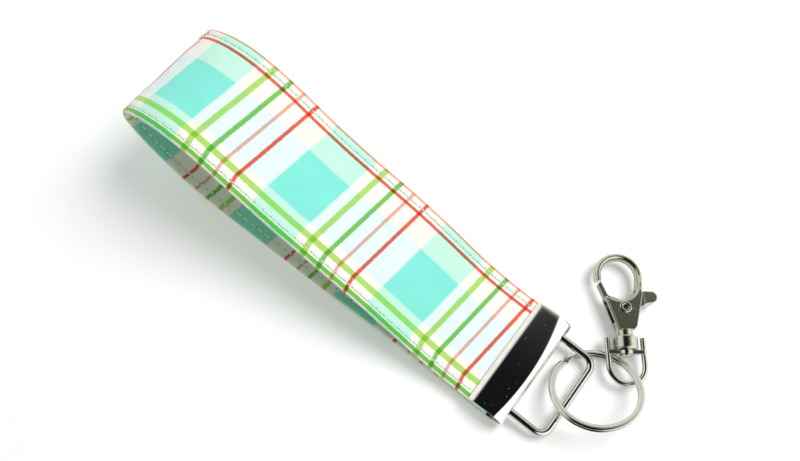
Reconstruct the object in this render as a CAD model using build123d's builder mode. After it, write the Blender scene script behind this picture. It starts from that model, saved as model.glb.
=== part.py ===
from build123d import *
import math
import os

# Wristlet keychain: a folded fabric strap in a sheet metal clamp, with a bail, a split ring
# and a swivel clasp. Millimetres, +Z up. The origin is the centre of the clamp's flat underside,
# +X runs from the wrist loop towards the metal parts and +Y across the strap.

# strap
strap_width = 32.5
strap_thickness = 1.8
cover_thickness = 0.4
cover_edge_radius = 0.85
core_width = 31.0
stitch_inset = 2.3
thread_width = 0.5
thread_depth = 0.15
strap_end_x = 0.3
mouth_x = -5.4
lower_layer_z = 1.75
layer_gap = 0.05
upper_layer_z = lower_layer_z + strap_thickness + layer_gap

# clamp
clamp_width = 32.0
clamp_length = 10.5
sheet = 0.8
clamp_height = 6.3
clamp_corner = 0.35
lip_length = 2.05
lip_height = 5.35
lip_rise = 0.5
slot_width = 2.3
slot_clearance = 0.12
slot_reach = 6.0
bail_up = 40.0
bail_down = 35.0

# bail
bail_wire = 2.0
bail_leg_spacing = 24.0
bail_reach = 12.6
bail_corner = 3.0
bail_back_corner = 1.3
bail_pivot = (2.75, 4.17)
bail_rest_angle = 6.4

# split ring
ring_outer = 24.0
ring_band = 1.7
ring_turn = 0.72
ring_gap = 0.06
ring_centre = (19.0, 5.7, 5.5)
ring_normal = (-0.316, 0.300, 1.0)
crossover_start = 150.0
crossover_sweep = 24.0

# swivel clasp, drawn in its own plane: first axis across the hook, second axis along it
clasp_centre = (18.76, 21.07, 3.6)
clasp_angle = 126.76
running_gap = 0.05
bow_wire = 1.5
bow_leg_spacing = 9.4
bow_bottom = -10.7
bow_top = 1.5
bow_curve = 5.0
plate_top = -1.8
plate_thickness = 1.1
plate_height = 1.8
plate_boss = 1.8
collar_radius = 3.3
collar_half = 1.75
collar_bevel = 0.3
shank_radius = 1.15
head_radius = 1.6
head_height = 0.45
neck_radius = 2.2
neck_end = 3.4
neck_overlap = 0.4
body_thickness = 4.4
cheek_bevel = 0.6
rim_thickness = 4.3
eye_thickness = 3.2
eye_at = (-0.45, 18.45)
eye_outer = 6.55
eye_inner = 4.55
nose_angle = 195
rim_at = (-0.55, 16.4)
rim_angle = 125
lever_thickness = 2.0
lever_slot = 2.2
lever_hub = 2.0
tab_thickness = 3.0
tab_start = 5.9
rivet_at = (0.4, 9.4)
rivet_radius = 1.1
rivet_head = 1.6
rivet_head_height = 0.4
rivet_head_round = 0.3
rivet_bore = 0.7
rivet_bore_depth = 3.2
spring_wire = 0.32
spring_radius = 1.5
spring_start = 0.34
spring_pitch = 0.38
spring_height = 0.48
spring_recess = 0.1


def strap_path():
    """Centre line of the strap from the upper end in the clamp round the loop to the lower end."""
    with BuildLine(Plane.XZ) as line:
        Line((strap_end_x, upper_layer_z), (mouth_x, upper_layer_z))
        free_loop()
        Line((mouth_x, lower_layer_z), (strap_end_x, lower_layer_z))
    return line.wire()


def free_loop():
    """The part of the centre line outside the clamp: a teardrop that rests on Z = 0."""
    rest = strap_thickness / 2
    touch_far, touch_near = -84.0, -66.0
    Spline(
        (mouth_x, upper_layer_z),
        (-38.7, 14.2),
        (-73.3, 25.8),
        (-105.0, 35.2),
        (-120.2, 24.4),
        (-112.0, 8.4),
        (touch_far, rest),
        tangents=[(-1, 0), (1, 0)],
    )
    Line((touch_far, rest), (touch_near, rest))
    Spline(
        (touch_near, rest),
        (-31.1, 3.1),
        (mouth_x, lower_layer_z),
        tangents=[(1, 0), (1, 0)],
    )


def loop_path():
    """The free part of the centre line on its own, for the thread rows."""
    with BuildLine(Plane.XZ) as line:
        free_loop()
    return line.wire()


full_path = strap_path()
free_path = loop_path()
end_plane = Plane(origin=full_path @ 0, x_dir=(0, 1, 0), z_dir=full_path % 0)
free_plane = Plane(origin=free_path @ 0, x_dir=(0, 1, 0), z_dir=free_path % 0)

# Strap core: flat interlining that fills the cover.
with BuildPart() as strap_core:
    with BuildSketch(end_plane):
        Rectangle(core_width, strap_thickness - 2 * cover_thickness)
    sweep(path=full_path)

# Thread rows: flat cords let into the cover, two on each face.
thread_y = strap_width / 2 - stitch_inset
thread_offset = strap_thickness / 2 - thread_depth / 2


def thread_row(side, face):
    """One thread row: side is -1 near or +1 far, face is +1 outer or -1 inner."""
    outward = math.copysign(1, free_plane.y_dir.Z)
    with BuildPart() as row:
        with BuildSketch(free_plane):
            with Locations((side * thread_y, face * outward * thread_offset)):
                Rectangle(thread_width, thread_depth)
        sweep(path=free_path)
    return row.part


outer_thread_near = thread_row(-1, 1)
outer_thread_far = thread_row(1, 1)
inner_thread_near = thread_row(-1, -1)
inner_thread_far = thread_row(1, -1)

# Strap cover: fabric sleeve with rounded long edges.
with BuildPart() as strap_cover:
    with BuildSketch(end_plane):
        RectangleRounded(strap_width, strap_thickness, cover_edge_radius)
    sweep(path=full_path)
    add(strap_core.part, mode=Mode.SUBTRACT)
    for row in (outer_thread_near, outer_thread_far, inner_thread_near, inner_thread_far):
        add(row, mode=Mode.SUBTRACT)

# Clamp: one folded sheet, open towards the strap, with a slot for each bail leg in the fold.
fold_radius = clamp_height / 2
fold_x = clamp_length / 2 - fold_radius
mouth_edge = -clamp_length / 2
lip_end = mouth_edge + lip_length
lip_bend_top = lip_height + lip_rise
with BuildPart() as clamp:
    with BuildSketch(Plane.XZ):
        with BuildLine():
            Line((mouth_edge, 0), (fold_x, 0))
            ThreePointArc((fold_x, 0), (fold_x + fold_radius, fold_radius), (fold_x, clamp_height))
            Line((fold_x, clamp_height), (lip_end, lip_bend_top))
            Line((lip_end, lip_bend_top), (mouth_edge, lip_height))
            Line((mouth_edge, lip_height), (mouth_edge, lip_height - sheet))
            Line((mouth_edge, lip_height - sheet), (lip_end, lip_bend_top - sheet))
            Line((lip_end, lip_bend_top - sheet), (fold_x, clamp_height - sheet))
            ThreePointArc((fold_x, clamp_height - sheet),
                          (fold_x + fold_radius - sheet, fold_radius), (fold_x, sheet))
            Line((fold_x, sheet), (mouth_edge, sheet))
            Line((mouth_edge, sheet), (mouth_edge, 0))
        make_face()
    extrude(amount=clamp_width / 2, both=True)
    fillet(clamp.faces().sort_by(Axis.X)[:2].edges().filter_by(Axis.Z), clamp_corner)
    pivot_x, pivot_z = bail_pivot
    with BuildSketch(Plane.XZ):
        half = bail_wire / 2 + slot_clearance
        up = math.radians(bail_up - bail_rest_angle)
        down = math.radians(bail_down + bail_rest_angle)
        with BuildLine():
            Polyline(
                (pivot_x - half * math.sin(up), pivot_z + half * math.cos(up)),
                (pivot_x + slot_reach * math.cos(up) - half * math.sin(up),
                 pivot_z + slot_reach * math.sin(up) + half * math.cos(up)),
                (pivot_x + slot_reach * math.cos(down) - half * math.sin(down),
                 pivot_z - slot_reach * math.sin(down) - half * math.cos(down)),
                (pivot_x - half * math.sin(down), pivot_z - half * math.cos(down)),
                close=True,
            )
        make_face()
    slot_blank = extrude(amount=slot_width / 2, both=True, mode=Mode.PRIVATE)
    for side in (-1, 1):
        with Locations((0, side * bail_leg_spacing / 2, 0)):
            add(slot_blank, mode=Mode.SUBTRACT)

# Bail: round wire bent to a rectangle, its back bar inside the fold of the clamp.
tilt = math.radians(bail_rest_angle)
bail_plane = Plane(origin=(bail_pivot[0], 0, bail_pivot[1]),
                   x_dir=(math.cos(tilt), 0, -math.sin(tilt)),
                   z_dir=(math.sin(tilt), 0, math.cos(tilt)))
with BuildSketch(bail_plane) as bail_outline:
    with Locations((bail_reach / 2, 0)):
        Rectangle(bail_reach, bail_leg_spacing)
    fillet(bail_outline.vertices().group_by(Axis.X)[-1], bail_corner)
    fillet(bail_outline.vertices().group_by(Axis.X)[0], bail_back_corner)
bail_path = bail_outline.sketch.face().outer_wire()
with BuildPart() as bail:
    with BuildSketch(Plane(origin=bail_path @ 0, z_dir=bail_path % 0)):
        Circle(bail_wire / 2)
    sweep(path=bail_path)

# Split ring: two turns of flattened wire joined by one sloping crossover.
ring_plane = Plane(origin=ring_centre, x_dir=(1, 0, -ring_normal[0]), z_dir=ring_normal)
ring_mean = ring_outer / 2 - ring_band / 2
turn_offset = (ring_turn + ring_gap) / 2
turn_sweep = 360 - crossover_sweep


def ring_point(angle, height):
    """Point on the ring's mean circle at an angle in degrees and a height above its middle."""
    turn = math.radians(angle)
    return (ring_mean * math.cos(turn), ring_mean * math.sin(turn), height)


with BuildLine(ring_plane) as ring_line:
    first = crossover_start + crossover_sweep
    lower = CenterArc((0, 0, -turn_offset), ring_mean, first, turn_sweep)
    upper = CenterArc((0, 0, turn_offset), ring_mean, first, turn_sweep)
    Spline(
        ring_point(crossover_start, -turn_offset),
        ring_point(crossover_start + crossover_sweep / 2, 0),
        ring_point(first, turn_offset),
        tangents=[ring_plane.to_local_coords(lower % 1), ring_plane.to_local_coords(upper % 0)],
    )
ring_wire = ring_line.wire()
with BuildPart() as split_ring:
    with BuildSketch(Plane(origin=ring_wire @ 0, x_dir=ring_plane.z_dir, z_dir=ring_wire % 0)):
        Ellipse(ring_turn / 2, ring_band / 2)
    sweep(path=ring_wire)

# Swivel clasp frame: first axis across the hook, second axis along it.
turned = math.radians(clasp_angle)
along_axis = Vector(math.cos(turned), math.sin(turned), 0)
across_axis = Vector(math.sin(turned), -math.cos(turned), 0)
clasp_plane = Plane(origin=clasp_centre, x_dir=across_axis, z_dir=(0, 0, 1))


def along(distance):
    """Plane square to the swivel axis at a distance from the middle of the collar."""
    return Plane(origin=clasp_plane.origin + along_axis * distance,
                 x_dir=across_axis, z_dir=along_axis)


# Swivel bow: a wire U with a cross plate that carries the post.
plate_bottom = plate_top - plate_thickness
with BuildPart() as swivel_bow:
    half = bow_leg_spacing / 2
    curve_top = bow_bottom + bow_curve
    with BuildLine(clasp_plane) as bow_path:
        Line((-half, bow_top), (-half, curve_top))
        EllipticalCenterArc((0, curve_top), half, bow_curve, start_angle=180, arc_size=180)
        Line((half, curve_top), (half, bow_top))
    with BuildSketch(Plane(origin=bow_path.wire() @ 0, z_dir=bow_path.wire() % 0)):
        Circle(bow_wire / 2)
    sweep(path=bow_path.wire())
    with BuildSketch(along(plate_bottom)):
        Rectangle(bow_leg_spacing, plate_height)
        Circle(plate_boss)
        Circle(shank_radius + running_gap, mode=Mode.SUBTRACT)
    extrude(amount=plate_thickness)

# Hook body: cheek plate, band round the eye and the opening, then neck, collar, shank and peened head.
band_width = eye_outer - eye_inner
band_middle = eye_inner + band_width / 2
eye_centre = clasp_plane.origin + across_axis * eye_at[0] + along_axis * eye_at[1]
rim_centre = clasp_plane.origin + across_axis * rim_at[0] + along_axis * rim_at[1]


def is_gate_side(edge):
    """True for the long edge of each cheek face on the gate's side."""
    middle = clasp_plane.to_local_coords(edge.center())
    on_face = abs(middle.Z) > body_thickness / 2 - running_gap
    return on_face and middle.X < 0 and edge.length > body_thickness


def is_collar_rim(edge):
    """True for the two rims of the collar."""
    return abs(edge.radius - collar_radius) < running_gap


with BuildPart() as hook_body:
    with BuildSketch(clasp_plane):
        with BuildLine():
            Polyline((-1.9, neck_end), (2.4, neck_end), (3.05, 4.2), (5.3, 13.4), (4.9, 14.6),
                     (-0.5, 15.0), (-3.4, 13.0), (-4.7, 12.2), close=True)
        make_face()
        with Locations(rim_at):
            Circle(band_middle, mode=Mode.SUBTRACT)
    extrude(amount=body_thickness / 2, both=True)
    chamfer(hook_body.edges().filter_by(is_gate_side), cheek_bevel)
    for centre, thickness in ((rim_at, rim_thickness), (eye_at, eye_thickness)):
        with BuildSketch(along(centre[1])):
            with Locations((centre[0] + band_middle, 0)):
                Ellipse(band_width / 2, thickness / 2)
    loft()
    with BuildSketch(along(rim_at[1])):
        with Locations((rim_at[0] + band_middle, 0)):
            Ellipse(band_width / 2, rim_thickness / 2)
    revolve(axis=Axis(rim_centre, (0, 0, -1)), revolution_arc=rim_angle)
    with BuildSketch(along(eye_at[1])):
        with Locations((eye_at[0] + band_middle, 0)):
            Ellipse(band_width / 2, eye_thickness / 2)
    revolve(axis=Axis(eye_centre, (0, 0, 1)), revolution_arc=nose_angle)
    with BuildSketch(clasp_plane):
        with BuildLine():
            Polyline((-8, 5.4), (8, 5.4), (8, 14.6), (3.2, 14.6), (3.2, 13.2), (-8, 13.2), close=True)
        make_face()
    extrude(amount=lever_slot / 2, both=True, mode=Mode.SUBTRACT)
    with BuildSketch(clasp_plane):
        with Locations(rivet_at):
            Circle(rivet_radius)
    extrude(amount=body_thickness, both=True, mode=Mode.SUBTRACT)
    with BuildSketch(along(collar_half)):
        Circle(neck_radius)
    extrude(amount=neck_end + neck_overlap - collar_half)
    with BuildSketch(along(-collar_half)):
        Circle(collar_radius)
    extrude(amount=2 * collar_half)
    circles = hook_body.edges().filter_by(GeomType.CIRCLE)
    chamfer(circles.filter_by(is_collar_rim), collar_bevel)
    with BuildSketch(along(plate_bottom - running_gap - head_height)):
        Circle(head_radius)
    extrude(amount=head_height)
    with BuildSketch(along(plate_bottom - running_gap)):
        Circle(shank_radius)
    extrude(amount=running_gap - plate_bottom - collar_half)

# Gate lever: gate arm, hub and thumb tab in one plate, cut back at the hub for the spring.
with BuildPart() as gate_lever:
    with BuildSketch(clasp_plane):
        with Locations(rivet_at):
            Circle(lever_hub)
        with BuildLine():
            Polyline((-1.2, 8.4), (-4.6, 11.9), (-6.2, 16.0), (-5.3, 16.75), (-3.7, 12.9),
                     (1.0, 11.2), close=True)
        make_face()
        with BuildLine():
            Line((0.9, 7.6), (6.6, 10.7))
            Line((6.6, 10.7), (7.9, 10.9))
            ThreePointArc((7.9, 10.9), (9.3, 12.4), (8.1, 14.0))
            Line((8.1, 14.0), (5.6, 14.1))
            Line((5.6, 14.1), (0.2, 11.3))
            Line((0.2, 11.3), (0.9, 7.6))
        make_face()
    extrude(amount=lever_thickness / 2, both=True)
    with BuildSketch(clasp_plane):
        with BuildLine():
            Line((tab_start, 10.6), (7.9, 10.9))
            ThreePointArc((7.9, 10.9), (9.3, 12.4), (8.1, 14.0))
            Line((8.1, 14.0), (tab_start, 14.1))
            Line((tab_start, 14.1), (tab_start, 10.6))
        make_face()
    extrude(amount=tab_thickness / 2, both=True)
    with BuildSketch(clasp_plane):
        with Locations(rivet_at):
            Circle(rivet_radius + running_gap)
    extrude(amount=lever_thickness, both=True, mode=Mode.SUBTRACT)
    with BuildSketch(clasp_plane.offset(spring_recess)):
        with Locations(rivet_at):
            Circle(lever_hub + running_gap)
    extrude(amount=lever_thickness, mode=Mode.SUBTRACT)

# Gate rivet: tubular rivet through both cheeks and the lever hub.
with BuildPart() as gate_rivet:
    with BuildSketch(clasp_plane):
        with Locations(rivet_at):
            Circle(rivet_radius)
    extrude(amount=body_thickness / 2, both=True)
    for side in (-1, 1):
        with BuildSketch(clasp_plane.offset(side * body_thickness / 2)):
            with Locations(rivet_at):
                Circle(rivet_head)
        extrude(amount=side * rivet_head_height)
    rivet_top = body_thickness / 2 + rivet_head_height
    with BuildSketch(clasp_plane.offset(rivet_top)):
        with Locations(rivet_at):
            Circle(rivet_bore)
    extrude(amount=-rivet_bore_depth, mode=Mode.SUBTRACT)
    fillet(gate_rivet.faces().sort_by(Axis.Z)[-1].edges(), rivet_head_round)
    fillet(gate_rivet.faces().sort_by(Axis.Z)[0].edges(), rivet_head_round)

# Gate spring: small coil round the rivet beside the lever hub.
with BuildPart() as gate_spring:
    with BuildLine(clasp_plane.offset(spring_start)) as coil:
        Helix(pitch=spring_pitch, height=spring_height, radius=spring_radius, center=(*rivet_at, 0))
    with BuildSketch(Plane(origin=coil.wire() @ 0, z_dir=coil.wire() % 0)):
        Circle(spring_wire / 2)
    sweep(path=coil.wire(), is_frenet=True)

os.makedirs("parts", exist_ok=True)
nodes = {
    "strap_cover": strap_cover.part,
    "strap_core": strap_core.part,
    "outer_thread_near": outer_thread_near,
    "outer_thread_far": outer_thread_far,
    "inner_thread_near": inner_thread_near,
    "inner_thread_far": inner_thread_far,
    "clamp": clamp.part,
    "bail": bail.part,
    "split_ring": split_ring.part,
    "swivel_bow": swivel_bow.part,
    "hook_body": hook_body.part,
    "gate_lever": gate_lever.part,
    "gate_rivet": gate_rivet.part,
    "gate_spring": gate_spring.part,
}
for node_name, node_part in nodes.items():
    node_part.label = node_name
    export_step(node_part, "parts/" + node_name + ".step")
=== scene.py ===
import math

import bmesh
import bpy
import numpy as np
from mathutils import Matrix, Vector


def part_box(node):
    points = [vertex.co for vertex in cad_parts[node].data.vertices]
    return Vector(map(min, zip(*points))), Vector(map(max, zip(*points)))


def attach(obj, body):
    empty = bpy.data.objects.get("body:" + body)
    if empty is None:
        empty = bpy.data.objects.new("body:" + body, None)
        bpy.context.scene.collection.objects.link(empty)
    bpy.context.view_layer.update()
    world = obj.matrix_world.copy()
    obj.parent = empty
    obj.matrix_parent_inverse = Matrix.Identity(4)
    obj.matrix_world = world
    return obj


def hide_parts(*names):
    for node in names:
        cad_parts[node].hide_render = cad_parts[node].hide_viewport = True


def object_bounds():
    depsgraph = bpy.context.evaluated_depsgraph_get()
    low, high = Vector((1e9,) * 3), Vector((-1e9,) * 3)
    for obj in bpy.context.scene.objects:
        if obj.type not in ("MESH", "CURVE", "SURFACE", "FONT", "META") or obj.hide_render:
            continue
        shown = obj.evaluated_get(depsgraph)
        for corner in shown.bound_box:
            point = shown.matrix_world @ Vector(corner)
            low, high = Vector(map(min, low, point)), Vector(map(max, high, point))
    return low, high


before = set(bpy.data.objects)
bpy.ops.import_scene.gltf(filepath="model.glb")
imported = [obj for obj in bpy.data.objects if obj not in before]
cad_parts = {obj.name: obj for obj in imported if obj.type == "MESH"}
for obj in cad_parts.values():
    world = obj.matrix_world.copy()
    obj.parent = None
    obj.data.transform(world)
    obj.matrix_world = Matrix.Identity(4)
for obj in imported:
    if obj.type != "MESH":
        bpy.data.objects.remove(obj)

# Wristlet keychain: looks for a fabric strap, its stitches and its plated metal parts.
# Sizes below are in millimetres; Blender works in metres.
MM = 0.001
cad_low, cad_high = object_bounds()
cover_low, cover_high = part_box("strap_cover")
clamp_low, clamp_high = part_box("clamp")

# strap
STRAP_HALF = (cover_high.y - cover_low.y) / 2 / MM
STRAP_THICK = 1.8
EDGE_ROUND = 0.86
STATION_STEP = 0.6
STITCH_AT = STRAP_HALF - 2.3
STITCH_PITCH = 2.7
THREAD = 0.34
YARN = 0.36

# how deep and how wide the cloth is drawn in along a stitch row and at each needle hole
VALLEY_DEPTH = 0.15
VALLEY_HALF = 0.5
HOLE_DEPTH = 0.14
HOLE_HALF = 0.3

# cloth simulation of one face, run larger than life: its grid in cells, and the height it ends up with
CLOTH_SCALE = 10
CLOTH_ROW = 12
CLOTH_HALF = 14
CELLS_PER_STITCH = 3
CLOTH_STEP = STITCH_PITCH / CELLS_PER_STITCH
CLOTH_SIDE = STITCH_AT / CLOTH_ROW
CLOTH_MOMENTS = 25
PUCKER = 0.14

# clamp: sheet, points round each bend, places and half width of the bail slots
SHEET = 0.75
CORNER_POINTS = 7
SLOT_MIDDLE = 12.0
SLOT_HALF = 1.15
SLOT_LOW = 1.2

# plaid print, measured across the strap from its middle and along it from the start of the print,
# which lies inside the clamp at this length from the strap's end
PRINT_START = 4.2
REPEAT = 38.6
RED_AT = 4.86
RED_START = 3.0
SKEW = 0.104
HEM_AT = 12.0
HEM_SKEW = 0.27
INNER_SHIFT = 7.7
INNER_SIDE = 7.5
SQUARE = 14.2
SQUARE_ALONG = 24.6
SQUARE_ACROSS = -1.4

WHITE = (0.97, 0.96, 0.87, 1)
RED = (0.82, 0.09, 0.04, 1)
PINK = (0.84, 0.36, 0.28, 1)
GREEN = (0.14, 0.54, 0.03, 1)
LIME = (0.42, 0.74, 0.10, 1)
AQUA = (0.25, 0.86, 0.74, 1)
MINT = (0.55, 0.95, 0.77, 1)
PALE_BLUE = (0.80, 0.94, 0.94, 1)


class Graph:
    """Short names for building one material's nodes."""

    def __init__(self, tree):
        self.tree = tree

    def add(self, kind, inputs=None, **settings):
        node = self.tree.nodes.new(kind)
        for name, value in settings.items():
            setattr(node, name, value)
        for name, value in (inputs or {}).items():
            if isinstance(value, bpy.types.NodeSocket):
                self.tree.links.new(value, node.inputs[name])
            else:
                node.inputs[name].default_value = value
        return node

    def math(self, operation, *values):
        return self.add("ShaderNodeMath", dict(enumerate(values)), operation=operation).outputs[0]

    def mix(self, factor, first, second, mode="MIX"):
        inputs = {0: factor, 6: first, 7: second}
        return self.add("ShaderNodeMix", inputs, data_type="RGBA", blend_type=mode).outputs[2]

    def attribute(self, name):
        return self.add("ShaderNodeAttribute", attribute_name=name).outputs["Fac"]

    def noise(self, scale, detail=2.0, vector=None):
        inputs = {"Scale": scale, "Detail": detail}
        if vector is not None:
            inputs["Vector"] = vector
        return self.add("ShaderNodeTexNoise", inputs).outputs["Fac"]

    def steps(self, value, low, high, to_low=0.0, to_high=1.0):
        inputs = {0: value, 1: low, 2: high, 3: to_low, 4: to_high}
        return self.add("ShaderNodeMapRange", inputs, interpolation_type="SMOOTHSTEP").outputs[0]

    def band(self, value, centre, width, soft=0.14):
        """1 where value is within half the width of centre, falling to 0 over a soft edge."""
        away = self.math("ABSOLUTE", self.math("SUBTRACT", value, centre))
        return self.steps(away, width / 2 - soft, width / 2 + soft, 1.0, 0.0)

    def surface(self, inputs):
        shader = self.add("ShaderNodeBsdfPrincipled", inputs)
        output = self.add("ShaderNodeOutputMaterial")
        self.tree.links.new(shader.outputs[0], output.inputs[0])


def new_graph(name):
    material = bpy.data.materials.new(name)
    material.use_nodes = True
    material.node_tree.nodes.clear()
    return material, Graph(material.node_tree)


def plaid_fabric():
    """Printed cotton: the plaid runs on the strap's own length and width, which each vertex carries."""
    material, g = new_graph("plaid_fabric")
    outer = g.attribute("cloth_outer")
    length = g.attribute("cloth_length")
    width = g.attribute("cloth_width")
    flip = g.math("SUBTRACT", 1.0, outer)

    # cross lines lean a little, and lean back where the hem turns
    hem = g.math("MAXIMUM", g.math("SUBTRACT", g.math("MULTIPLY", width, -1.0), HEM_AT), 0.0)
    lean = g.math("MULTIPLY_ADD", width, SKEW, g.math("MULTIPLY", hem, HEM_SKEW))
    yarn = g.math("MULTIPLY", g.math("SUBTRACT", g.noise(2600.0, 1.0), 0.5), 0.45)
    wobble = g.math("MULTIPLY_ADD", g.math("SUBTRACT", g.noise(90.0), 0.5), 0.5, yarn)
    shifted = g.math("ADD", g.math("ADD", length, lean), wobble)
    shifted = g.math("MULTIPLY_ADD", flip, INNER_SHIFT, shifted)
    across = g.math("FLOORED_MODULO", g.math("ADD", shifted, RED_START - RED_AT), REPEAT)
    along = g.math("ADD", g.math("MULTIPLY_ADD", flip, INNER_SIDE, width), g.math("MULTIPLY", wobble, 0.6))

    square_u = g.band(across, RED_START + SQUARE_ALONG, SQUARE, 0.3)
    square_v = g.band(along, SQUARE_ACROSS, SQUARE, 0.3)
    both = g.math("MULTIPLY", square_u, square_v)
    color = g.mix(g.math("MULTIPLY", square_v, 0.9), WHITE, PALE_BLUE)
    color = g.mix(g.math("MULTIPLY", square_u, 0.9), color, MINT)
    color = g.mix(both, color, AQUA)

    # each line: direction, centre, width, colour, strength
    lines = (
        (across, RED_START, 1.0, RED, 0.95),
        (across, RED_START + 4.66, 0.85, PINK, 0.85),
        (across, RED_START + 8.94, 1.25, GREEN, 0.9),
        (across, RED_START + 14.03, 1.55, LIME, 0.9),
        (along, 12.5, 0.85, RED, 0.95),
        (along, 15.8, 0.8, PINK, 0.95),
        (along, -11.2, 1.55, LIME, 0.9),
        (along, -15.15, 1.15, GREEN, 0.95),
    )
    for value, centre, line_width, line_color, strength in lines:
        cover = g.math("MULTIPLY", g.band(value, centre, line_width), strength)
        color = g.mix(cover, color, line_color, "MULTIPLY")

    # painted shade: the inner face, which faces into the loop, is darkened and warmed in its colour to
    # stand for the shade inside the loop
    color = g.mix(flip, color, (0.78, 0.72, 0.60, 1), "MULTIPLY")

    # plain weave
    turn = 2 * math.pi / YARN
    warp = g.math("SINE", g.math("MULTIPLY", length, turn))
    weft = g.math("SINE", g.math("MULTIPLY", width, turn))
    weave = g.math("MULTIPLY", warp, weft)
    slub = g.noise(900.0, 3.0)
    shade = g.math("MULTIPLY_ADD", weave, 0.06, g.math("MULTIPLY_ADD", slub, 0.16, 0.90))
    grey = g.add("ShaderNodeCombineColor", {0: shade, 1: shade, 2: shade}).outputs[0]
    color = g.mix(1.0, color, grey, "MULTIPLY")

    # painted shade in the needle holes: a dark spot at each hole
    row = g.band(g.math("ABSOLUTE", width), STITCH_AT, 0.42, 0.12)
    phase = g.math("FLOORED_MODULO", g.math("ADD", length, STITCH_PITCH / 2), STITCH_PITCH)
    hole_shade = g.math("MULTIPLY", row, g.band(phase, STITCH_PITCH / 2, 0.5, 0.2))
    # painted shade: each needle hole is darkened as if shaded
    color = g.mix(g.math("MULTIPLY", hole_shade, 0.65), color, (0.08, 0.22, 0.22, 1))

    height = g.math("MULTIPLY_ADD", weave, 0.5, slub)
    bump = g.add("ShaderNodeBump", {"Strength": 0.35, "Distance": 0.00006, "Height": height})
    g.surface({"Base Color": color, "Roughness": 0.88, "Normal": bump.outputs[0],
               "Sheen Weight": 0.25, "Sheen Roughness": 0.5, "Specular IOR Level": 0.25})
    return material


def thread_material():
    """Pale twisted thread."""
    material, g = new_graph("sewing_thread")
    place = g.add("ShaderNodeTexCoord").outputs["Object"]
    twist = g.add("ShaderNodeTexWave", {"Vector": place, "Scale": 900.0, "Distortion": 1.0},
                  wave_type="BANDS", bands_direction="DIAGONAL").outputs["Fac"]
    color = g.mix(twist, (0.50, 0.66, 0.58, 1), (0.76, 0.86, 0.78, 1))
    bump = g.add("ShaderNodeBump", {"Strength": 0.5, "Distance": 0.00005, "Height": twist})
    g.surface({"Base Color": color, "Roughness": 0.6, "Normal": bump.outputs[0], "Sheen Weight": 0.3})
    return material


def nickel(name, tint, roughness, grain, edge=0.14):
    """Bright plated metal with fine pits, faint scratches and edges rubbed brighter."""
    material, g = new_graph(name)
    place = g.add("ShaderNodeTexCoord").outputs["Object"]
    pits = g.steps(g.noise(grain, 4.0, place), 0.62, 0.75)
    scratch_place = g.add("ShaderNodeMapping", {"Vector": place, "Scale": (1.0, 0.12, 1.0),
                                                "Rotation": (0, 0, 0.5)}).outputs[0]
    scratches = g.steps(g.noise(5200.0, 2.0, scratch_place), 0.60, 0.72)
    cloud = g.noise(260.0, 3.0, place)
    rounded = g.add("ShaderNodeBevel", {"Radius": edge * MM}, samples=4).outputs[0]
    facing = g.add("ShaderNodeNewGeometry").outputs["True Normal"]
    flat = g.add("ShaderNodeVectorMath", {0: rounded, 1: facing}, operation="DOT_PRODUCT").outputs["Value"]
    rubbed = g.steps(flat, 0.90, 0.995, 1.0, 0.0)
    specks = g.add("ShaderNodeTexVoronoi", {"Vector": place, "Scale": 1500.0})
    chance = g.add("ShaderNodeSeparateColor", {0: specks.outputs["Color"]}).outputs[0]
    chosen = g.steps(chance, 0.78, 0.80)
    speck = g.math("MULTIPLY", chosen, g.steps(specks.outputs["Distance"], 0.08, 0.15, 1.0, 0.0))
    dull = tuple(0.82 * c for c in tint[:3]) + (1,)
    color = g.mix(cloud, tint, dull)
    color = g.mix(g.math("MULTIPLY", rubbed, 0.5), color, (0.93, 0.92, 0.90, 1))
    color = g.mix(g.math("MULTIPLY", pits, 0.25), color, (0.30, 0.29, 0.27, 1))
    rough = g.math("MULTIPLY_ADD", scratches, 0.05, roughness)
    rough = g.math("MULTIPLY_ADD", pits, 0.12, rough)
    sunk = g.math("MULTIPLY_ADD", scratches, 0.15, g.math("MULTIPLY", pits, 0.5))
    height = g.math("SUBTRACT", g.math("MULTIPLY", cloud, 0.4), sunk)
    bump = g.add("ShaderNodeBump", {"Strength": 0.12, "Distance": 0.00004, "Height": height,
                                    "Normal": rounded})
    color = g.mix(g.math("MULTIPLY", speck, 0.8), color, (0.85, 0.84, 0.80, 1))
    metallic = g.math("MULTIPLY_ADD", speck, -0.8, 1.0)
    g.surface({"Base Color": color, "Metallic": metallic, "Roughness": rough, "Normal": bump.outputs[0]})
    return material


def floor_material():
    """Plain pale paper that glows a little, as a lit backdrop does."""
    material, g = new_graph("pale_floor")
    cloud = g.noise(6.0, 3.0)
    color = g.mix(cloud, (0.90, 0.91, 0.90, 1), (0.92, 0.92, 0.91, 1))
    g.surface({"Base Color": color, "Roughness": 0.75, "Specular IOR Level": 0.15,
               "Emission Color": (1, 1, 1, 1), "Emission Strength": 0.13})
    return material


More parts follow.
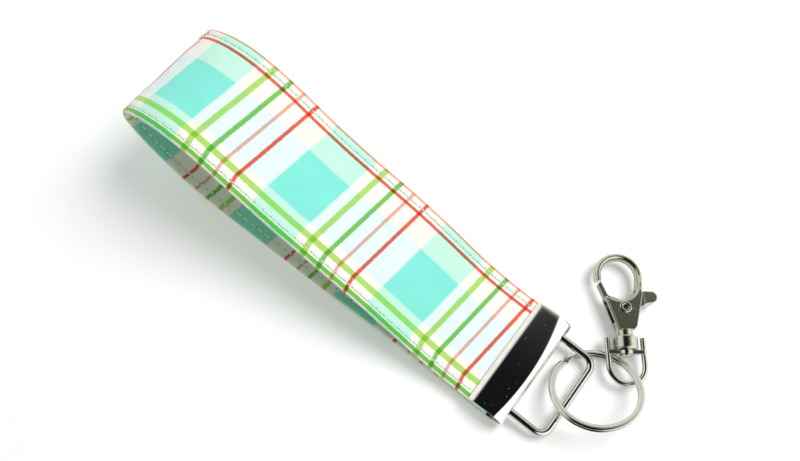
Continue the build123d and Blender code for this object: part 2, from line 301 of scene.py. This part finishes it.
def strap_centre_line():
    """Lengths along the strap and its (x, z) centre points in mm, from the upper end round to the lower."""
    side = bmesh.new()
    side.from_mesh(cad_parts["strap_core"].data)
    bmesh.ops.remove_doubles(side, verts=side.verts, dist=1e-6)
    side.normal_update()
    rest = [face for face in side.faces if face.normal.y < 0.99]
    bmesh.ops.delete(side, geom=rest, context="FACES")
    rim = [max(side.verts, key=lambda v: (round(v.co.x, 5), v.co.z))]
    end_x = rim[0].co.x
    rims = [e for e in rim[0].link_edges if e.is_boundary]
    edge = min(rims, key=lambda e: e.other_vert(rim[0]).co.x)
    while True:
        following = edge.other_vert(rim[-1])
        if following is rim[0]:
            break
        rim.append(following)
        edge = next(e for e in following.link_edges if e.is_boundary and e is not edge)
    points = np.array([(v.co.x / MM, v.co.z / MM) for v in rim])
    side.free()
    turn = 1 + int(np.argmax(points[1:, 0] > end_x / MM - 0.001))
    fine_count, smoothings = 1100, 60
    share = np.linspace(0, 1, fine_count)
    middle = (evenly(points[: turn + 1], share) + evenly(points[turn + 1:][::-1], share)) / 2
    for _ in range(smoothings):
        middle[1:-1] = (middle[:-2] + 2 * middle[1:-1] + middle[2:]) / 4
    length = run_length(middle)
    count = int(length[-1] / STATION_STEP)
    middle = evenly(middle, np.linspace(0, 1, count + 1))
    return run_length(middle), middle


def run_length(points):
    """Length along a row of points, at each point."""
    steps = np.linalg.norm(np.diff(points, axis=0), axis=1)
    return np.concatenate([[0.0], np.cumsum(steps)])


def evenly(points, share):
    """Points at the given shares of the whole length."""
    length = run_length(points)
    wanted = share * length[-1]
    return np.stack([np.interp(wanted, length, points[:, i]) for i in range(points.shape[1])], axis=1)


def strap_section():
    """Points round the strap: across, height and 1 for the outer face or 0 for the inner face."""
    flat = STRAP_HALF - EDGE_ROUND
    wide_step, fine_step, least_step = 0.8, 0.2, 0.12
    coarse = np.arange(-flat, flat, wide_step)
    fine = np.arange(-wide_step, wide_step + 0.01, fine_step)
    across = np.unique(np.round(np.concatenate([coarse, fine + STITCH_AT, fine - STITCH_AT, [flat]]), 3))
    across = across[np.concatenate([[True], np.diff(across) > least_step])]
    half = STRAP_THICK / 2
    corner = np.radians(np.linspace(90, -90, 11))[1:-1]
    far = [(flat + EDGE_ROUND * math.cos(a), half * math.sin(a), float(a > 0)) for a in corner]
    near = [(-x, z, outer) for x, z, outer in far[::-1]]
    top = [(x, half, 1.0) for x in across]
    bottom = [(x, -half, 0.0) for x in across[::-1]]
    return np.array(top + far + bottom + near)


def cloth_heights(total):
    """Heights in mm of one cloth face held down at its stitches, as a grid over length and width."""
    rows, columns = int(total / CLOTH_STEP) + 2, 2 * CLOTH_HALF + 1
    chance = np.random.default_rng(7)
    grow = CLOTH_SCALE * MM
    points, faces, held = [], [], []
    for i in range(rows):
        for j in range(columns):
            side = abs(j - CLOTH_HALF)
            points.append((i * CLOTH_STEP * grow, (j - CLOTH_HALF) * CLOTH_SIDE * grow,
                           chance.uniform(0.0, 0.05) * grow))
            at_hole = side == CLOTH_ROW and i % CELLS_PER_STITCH == 0
            # scattered spots where the cloth is fused to its interlining
            glued = side % 6 == 0 and (i + 4 * j) % 14 == 0
            if at_hole or glued or side == CLOTH_HALF or i in (0, rows - 1):
                held.append(i * columns + j)
            if i < rows - 1 and j < columns - 1:
                a = i * columns + j
                faces.append((a, a + columns, a + columns + 1, a + 1))
    sheet = mesh_object("cloth_sheet", points, faces, bpy.data.materials.new("plain"))
    sheet.vertex_groups.new(name="held").add(held, 1.0, "REPLACE")
    cloth = sheet.modifiers.new("cloth", "CLOTH")
    cloth.settings.vertex_group_mass = "held"
    cloth.settings.shrink_min = -0.012
    cloth.settings.bending_stiffness = 0.4
    cloth.settings.effector_weights.gravity = 0
    cloth.collision_settings.use_collision = False
    scene = bpy.context.scene
    for moment in range(1, CLOTH_MOMENTS + 1):
        scene.frame_set(moment)
    settled = sheet.evaluated_get(bpy.context.evaluated_depsgraph_get()).to_mesh()
    heights = np.array([v.co.z for v in settled.vertices]).reshape(rows, columns) / grow
    scene.frame_set(1)
    bpy.data.objects.remove(sheet)
    heights -= np.median(heights)
    usual = np.percentile(np.abs(heights), 95)
    highest = 1.4 * PUCKER
    return np.clip(heights / usual * PUCKER, -highest, highest)


def relief(length, across, heights):
    """How far the cloth stands above or below its flat face, in mm."""
    row = np.abs(across) - STITCH_AT
    valley = -VALLEY_DEPTH * np.exp(-((row / VALLEY_HALF) ** 2))
    at_hole = np.cos(math.pi * length / STITCH_PITCH) ** 12
    hole = -HOLE_DEPTH * np.exp(-((row / HOLE_HALF) ** 2)) * at_hole
    i = np.clip(length / CLOTH_STEP, 0, heights.shape[0] - 1.001)
    j = np.clip(across / CLOTH_SIDE + CLOTH_HALF, 0, heights.shape[1] - 1.001)
    i_low, j_low = i.astype(int), j.astype(int)
    i_part, j_part = i - i_low, j - j_low
    near = heights[i_low, j_low] * (1 - i_part) + heights[i_low + 1, j_low] * i_part
    far = heights[i_low, j_low + 1] * (1 - i_part) + heights[i_low + 1, j_low + 1] * i_part
    return valley + hole + near * (1 - j_part) + far * j_part


def strap_frame():
    """Length from the start of the print, centre points and outward directions along the strap."""
    length, middle = strap_centre_line()
    tangent = np.gradient(middle, axis=0)
    tangent /= np.linalg.norm(tangent, axis=1)[:, None]
    outward = np.stack([tangent[:, 1], -tangent[:, 0]], axis=1)
    return length - PRINT_START, middle, outward


def free_of_clamp(middle):
    """1 on the free strap, falling to 0 over a short length before the clamp."""
    start = clamp_low.x / MM + 0.3
    fade = 3.0
    return np.clip((start - middle[:, 0]) / fade, 0, 1)


def mesh_object(name, points, faces, material):
    """A new smooth-shaded object in the scene."""
    mesh = bpy.data.meshes.new(name)
    mesh.from_pydata([tuple(p) for p in points], [], faces)
    mesh.materials.append(material)
    mesh.update()
    for polygon in mesh.polygons:
        polygon.use_smooth = True
    piece = bpy.data.objects.new(name, mesh)
    bpy.context.scene.collection.objects.link(piece)
    return piece


def make_strap(material):
    """The whole strap as one closed sleeve round the centre line, with the relief of its stitching."""
    length, middle, outward = strap_frame()
    section = strap_section()
    stations, around = len(length), len(section)
    u = np.repeat(length[:, None], around, axis=1)
    v = np.repeat(section[None, :, 0], stations, axis=0)
    height = np.repeat(section[None, :, 1], stations, axis=0)
    outer = np.repeat(section[None, :, 2], stations, axis=0)
    free = free_of_clamp(middle)[:, None]
    heights = cloth_heights(length[-1])
    raised = np.where(outer > 0.5, relief(u, v, heights), relief(u, v, heights[::-1]))
    facing = height / (STRAP_THICK / 2)
    offset = height + facing * (np.minimum(raised, 0) + free * np.maximum(raised, 0))
    # the near edge is two folded layers that meet in a groove
    groove_half, groove_depth = 0.2, 0.3
    groove = groove_depth * np.exp(-((height / groove_half) ** 2)) * (v < -STRAP_HALF + EDGE_ROUND)
    # both edges waver a little
    sway = 0.05 * np.sin(u / 11.0) + 0.03 * np.sin(u / 3.7 + 1.0)
    edge_in = free * np.abs(sway) * (np.abs(v) > STITCH_AT + 1)
    v_place = v + groove - np.sign(v) * edge_in
    x = middle[:, 0, None] + outward[:, 0, None] * offset
    z = middle[:, 1, None] + outward[:, 1, None] * offset
    points = np.stack([x, v_place, z], axis=2).reshape(-1, 3) * MM
    faces = []
    for i in range(stations - 1):
        for j in range(around):
            k = (j + 1) % around
            faces.append((i * around + j, i * around + k, (i + 1) * around + k, (i + 1) * around + j))
    faces.append(tuple(range(around))[::-1])
    faces.append(tuple((stations - 1) * around + j for j in range(around)))
    strap = mesh_object("strap_fabric", points, faces, material)
    for name, values in (("cloth_length", u), ("cloth_width", v), ("cloth_outer", outer)):
        attribute = strap.data.attributes.new(name, "FLOAT", "POINT")
        attribute.data.foreach_set("value", values.astype(np.float32).ravel())
    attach(strap, "strap")
    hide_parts("strap_cover", "strap_core")


def make_stitches(material):
    """One short raised thread between each pair of needle holes, in a row along each edge of each face."""
    length, middle, outward = strap_frame()
    clear = length[(middle[:, 0] < clamp_low.x / MM - 0.4)]
    first = math.ceil((clear[0] + 0.4) / STITCH_PITCH)
    last = math.floor((clear[-1] - 0.4) / STITCH_PITCH)
    sides, rings = 8, 9
    gap, buried, ply_depth, ply_turn, slant = 0.08, 0.20, 0.16, 9, 0.05
    for face_name, sign in (("outer", 1), ("inner", -1)):
        for row_name, row in (("near", -1), ("far", 1)):
            points, faces = [], []
            for index in range(first, last):
                start = len(points)
                for r in range(rings):
                    share = r / (rings - 1)
                    at = (index + gap + (1 - 2 * gap) * share) * STITCH_PITCH
                    arch = math.sin(math.pi * share) ** 0.5
                    size = THREAD / 2 * (0.35 + 0.65 * arch)
                    centre = np.array([np.interp(at, length, middle[:, k]) for k in (0, 1)])
                    out = np.array([np.interp(at, length, outward[:, k]) for k in (0, 1)])
                    lift = STRAP_THICK / 2 - buried * (1 - arch)
                    for s in range(sides):
                        angle = 2 * math.pi * s / sides
                        radius = size * (1 + ply_depth * math.cos(2 * angle + ply_turn * share))
                        rise = sign * (lift + 0.75 * radius * math.sin(angle))
                        across = row * STITCH_AT + radius * math.cos(angle) + slant * (share - 0.5)
                        place = centre + out * rise
                        points.append((place[0] * MM, across * MM, place[1] * MM))
                for r in range(rings - 1):
                    for s in range(sides):
                        a = start + r * sides + s
                        b = start + r * sides + (s + 1) % sides
                        quad = (a, a + sides, b + sides, b)
                        faces.append(quad if sign > 0 else quad[::-1])
                near_cap = [start + s for s in range(sides)]
                far_cap = [start + (rings - 1) * sides + s for s in range(sides)]
                faces.append(tuple(near_cap if sign > 0 else near_cap[::-1]))
                faces.append(tuple(far_cap[::-1] if sign > 0 else far_cap))
            row_piece = mesh_object(f"stitches_{face_name}_{row_name}", points, faces, material)
            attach(row_piece, "strap")
            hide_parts(f"{face_name}_thread_{row_name}")


def clamp_profile(y):
    """Inner line of the folded sheet at a place across it: back, fold, bead, rolled face and mouth lip."""
    low_x, high_x = clamp_low.x / MM, clamp_high.x / MM - SHEET
    low, top = SHEET, clamp_high.z / MM - SHEET
    share = y / (clamp_high.y / MM)
    roll = 1.1 + 0.7 * share + 1.9 * share * share
    bead = high_x - 0.4
    drop = 0.5 * (roll - 0.45)
    # each corner: place along the strap, height, and size of its bend
    corners = [
        (low_x, low, 0.0),
        (high_x - 1.9, low, 1.5),
        (high_x, low + 1.6, 0.6),
        (high_x, top - drop - 0.55, 0.16),
        (bead, top - drop - 0.58, 0.08),
        (bead, top - drop - 0.15, 0.12),
        (high_x - roll, top, 0.4),
        (low_x + 2.05, top - 0.45, 0.3),
        (low_x, top - 0.95, 0.0),
    ]
    points = []
    for before, here, after in zip([corners[0]] + corners[:-1], corners, corners[1:] + [corners[-1]]):
        middle = np.array(here[:2])
        if here[2] == 0:
            points.append(middle)
            continue
        back = np.array(before[:2]) - middle
        ahead = np.array(after[:2]) - middle
        start = middle + back / np.linalg.norm(back) * here[2]
        end = middle + ahead / np.linalg.norm(ahead) * here[2]
        for t in np.linspace(0, 1, CORNER_POINTS):
            points.append((1 - t) ** 2 * start + 2 * t * (1 - t) * middle + t * t * end)
    return np.array(points)


def make_clamp(material):
    """Folded sheet with a slot for each bail leg in the fold, thickened outwards."""
    half = clamp_high.y / MM
    marks = [-half, half]
    for side in (-1, 1):
        marks += [side * (SLOT_MIDDLE - SLOT_HALF), side * (SLOT_MIDDLE + SLOT_HALF)]
    stations = np.unique(np.round(np.concatenate([np.linspace(-half, half, 41), marks]), 4))
    rows = [clamp_profile(y) for y in stations]
    count = len(rows[0])
    below_bead = 3 * CORNER_POINTS
    middle_z = clamp_high.z / MM / 2
    end_width, end_turn = 0.35, 0.10
    points = []
    for y, row in zip(stations, rows):
        turned = end_turn * max(0.0, abs(y) - half + end_width) / end_width
        for x, z in row:
            points.append((x * MM, y * MM, (z - turned * np.sign(z - middle_z)) * MM))
    faces = []
    for j in range(len(stations) - 1):
        y = (stations[j] + stations[j + 1]) / 2
        in_slot = abs(abs(y) - SLOT_MIDDLE) < SLOT_HALF
        for i in range(count - 1):
            z = (rows[j][i][1] + rows[j][i + 1][1]) / 2
            if in_slot and z > SLOT_LOW and i < below_bead:
                continue
            a = j * count + i
            faces.append((a, a + 1, a + count + 1, a + count))
    piece = mesh_object("clamp_sheet", points, faces, material)
    thick = piece.modifiers.new("thickness", "SOLIDIFY")
    thick.thickness = SHEET * MM
    thick.offset = -1
    rounded = piece.modifiers.new("rims", "BEVEL")
    rounded.width = 0.16 * MM
    rounded.segments = 2
    rounded.limit_method = "ANGLE"
    rounded.angle_limit = math.radians(50)
    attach(piece, "strap")
    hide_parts("clamp")


def finish_metal():
    """The clamp, and plated finishes for the CAD nodes that stay."""
    sheet = nickel("plated_sheet", (0.78, 0.77, 0.73, 1), 0.05, 900.0)
    make_clamp(sheet)
    wire = nickel("plated_wire", (0.60, 0.59, 0.54, 1), 0.08, 1500.0)
    casting = nickel("plated_casting", (0.52, 0.52, 0.42, 1), 0.17, 1300.0, 0.35)
    steel = nickel("spring_steel", (0.45, 0.45, 0.46, 1), 0.25, 1500.0)
    finishes = {
        "bail": wire,
        "split_ring": wire,
        "swivel_bow": wire,
        "hook_body": casting,
        "gate_lever": casting,
        "gate_rivet": casting,
        "gate_spring": steel,
    }
    for name, material in finishes.items():
        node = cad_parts[name]
        node.data.materials.clear()
        node.data.materials.append(material)


def area_light(name, place, target, size, power):
    """A round soft light that metal does not mirror."""
    light = bpy.data.lights.new(name, "AREA")
    light.shape = "DISK"
    light.size = size
    light.energy = power
    lamp = bpy.data.objects.new(name, light)
    lamp.location = place
    lamp.rotation_euler = (Vector(target) - Vector(place)).to_track_quat("-Z", "Y").to_euler()
    bpy.context.scene.collection.objects.link(lamp)
    lamp.visible_glossy = False


def studio():
    """Pale floor, one big soft light, and a bright room with a dark strip overhead that metal reflects."""
    reach = 2
    corners = [(-reach, -reach, 0), (reach, -reach, 0), (reach, reach, 0), (-reach, reach, 0)]
    floor = mesh_object("floor", corners, [(0, 1, 2, 3)], floor_material())
    centre = (cad_low + cad_high) / 2
    area_light("key_light", centre + Vector((0.20, 0.30, 0.55)), centre, 0.42, 3.5)
    area_light("fill_light", centre + Vector((-0.45, -0.15, 0.40)), centre, 0.40, 0.45)
    world = bpy.data.worlds.new("studio")
    world.use_nodes = True
    world.node_tree.nodes.clear()
    g = Graph(world.node_tree)
    direction = g.add("ShaderNodeSeparateXYZ", {0: g.add("ShaderNodeTexCoord").outputs["Generated"]})
    east, north, up = (direction.outputs[axis] for axis in "XYZ")
    bright = g.mix(g.steps(east, 0.40, 0.60), (1.25, 1.25, 1.20, 1), (1.7, 1.7, 1.65, 1))
    horizon = g.mix(g.steps(north, -0.75, -0.45), (0.06, 0.06, 0.05, 1), bright)
    strip = g.math("MULTIPLY", g.steps(east, -0.62, -0.46), g.steps(east, 0.32, 0.42, 1.0, 0.0))
    strip = g.math("MULTIPLY", strip, g.steps(north, 0.22, 1.0, 1.0, 0.0))
    strip = g.math("MULTIPLY", strip, g.steps(up, 0.45, 0.60))
    seen = g.mix(strip, horizon, (0.010, 0.010, 0.013, 1))
    glossy = g.add("ShaderNodeLightPath").outputs["Is Glossy Ray"]
    color = g.mix(glossy, (0.40, 0.41, 0.41, 1), seen)
    background = g.add("ShaderNodeBackground", {"Color": color, "Strength": 1.0})
    output = g.add("ShaderNodeOutputWorld")
    world.node_tree.links.new(background.outputs[0], output.inputs[0])
    bpy.context.scene.world = world


def camera():
    """A normal lens above the near side, turned a little to the right."""
    azimuth, elevation, distance = math.radians(38.0), math.radians(68.57), 0.210
    target = Vector((-0.04857, 0.0109, 0))
    back = Vector((math.sin(azimuth) * math.cos(elevation), -math.cos(azimuth) * math.cos(elevation),
                   math.sin(elevation)))
    lens = bpy.data.cameras.new("camera")
    lens.lens = 33.2
    lens.sensor_width = 36
    lens.clip_start = 0.01
    view = bpy.data.objects.new("camera", lens)
    view.location = target + back * distance
    view.rotation_euler = (-back).to_track_quat("-Z", "Y").to_euler()
    bpy.context.scene.collection.objects.link(view)
    bpy.context.scene.camera = view
    bpy.context.scene.view_settings.view_transform = "Standard"


make_strap(plaid_fabric())
make_stitches(thread_material())
finish_metal()
studio()
camera()
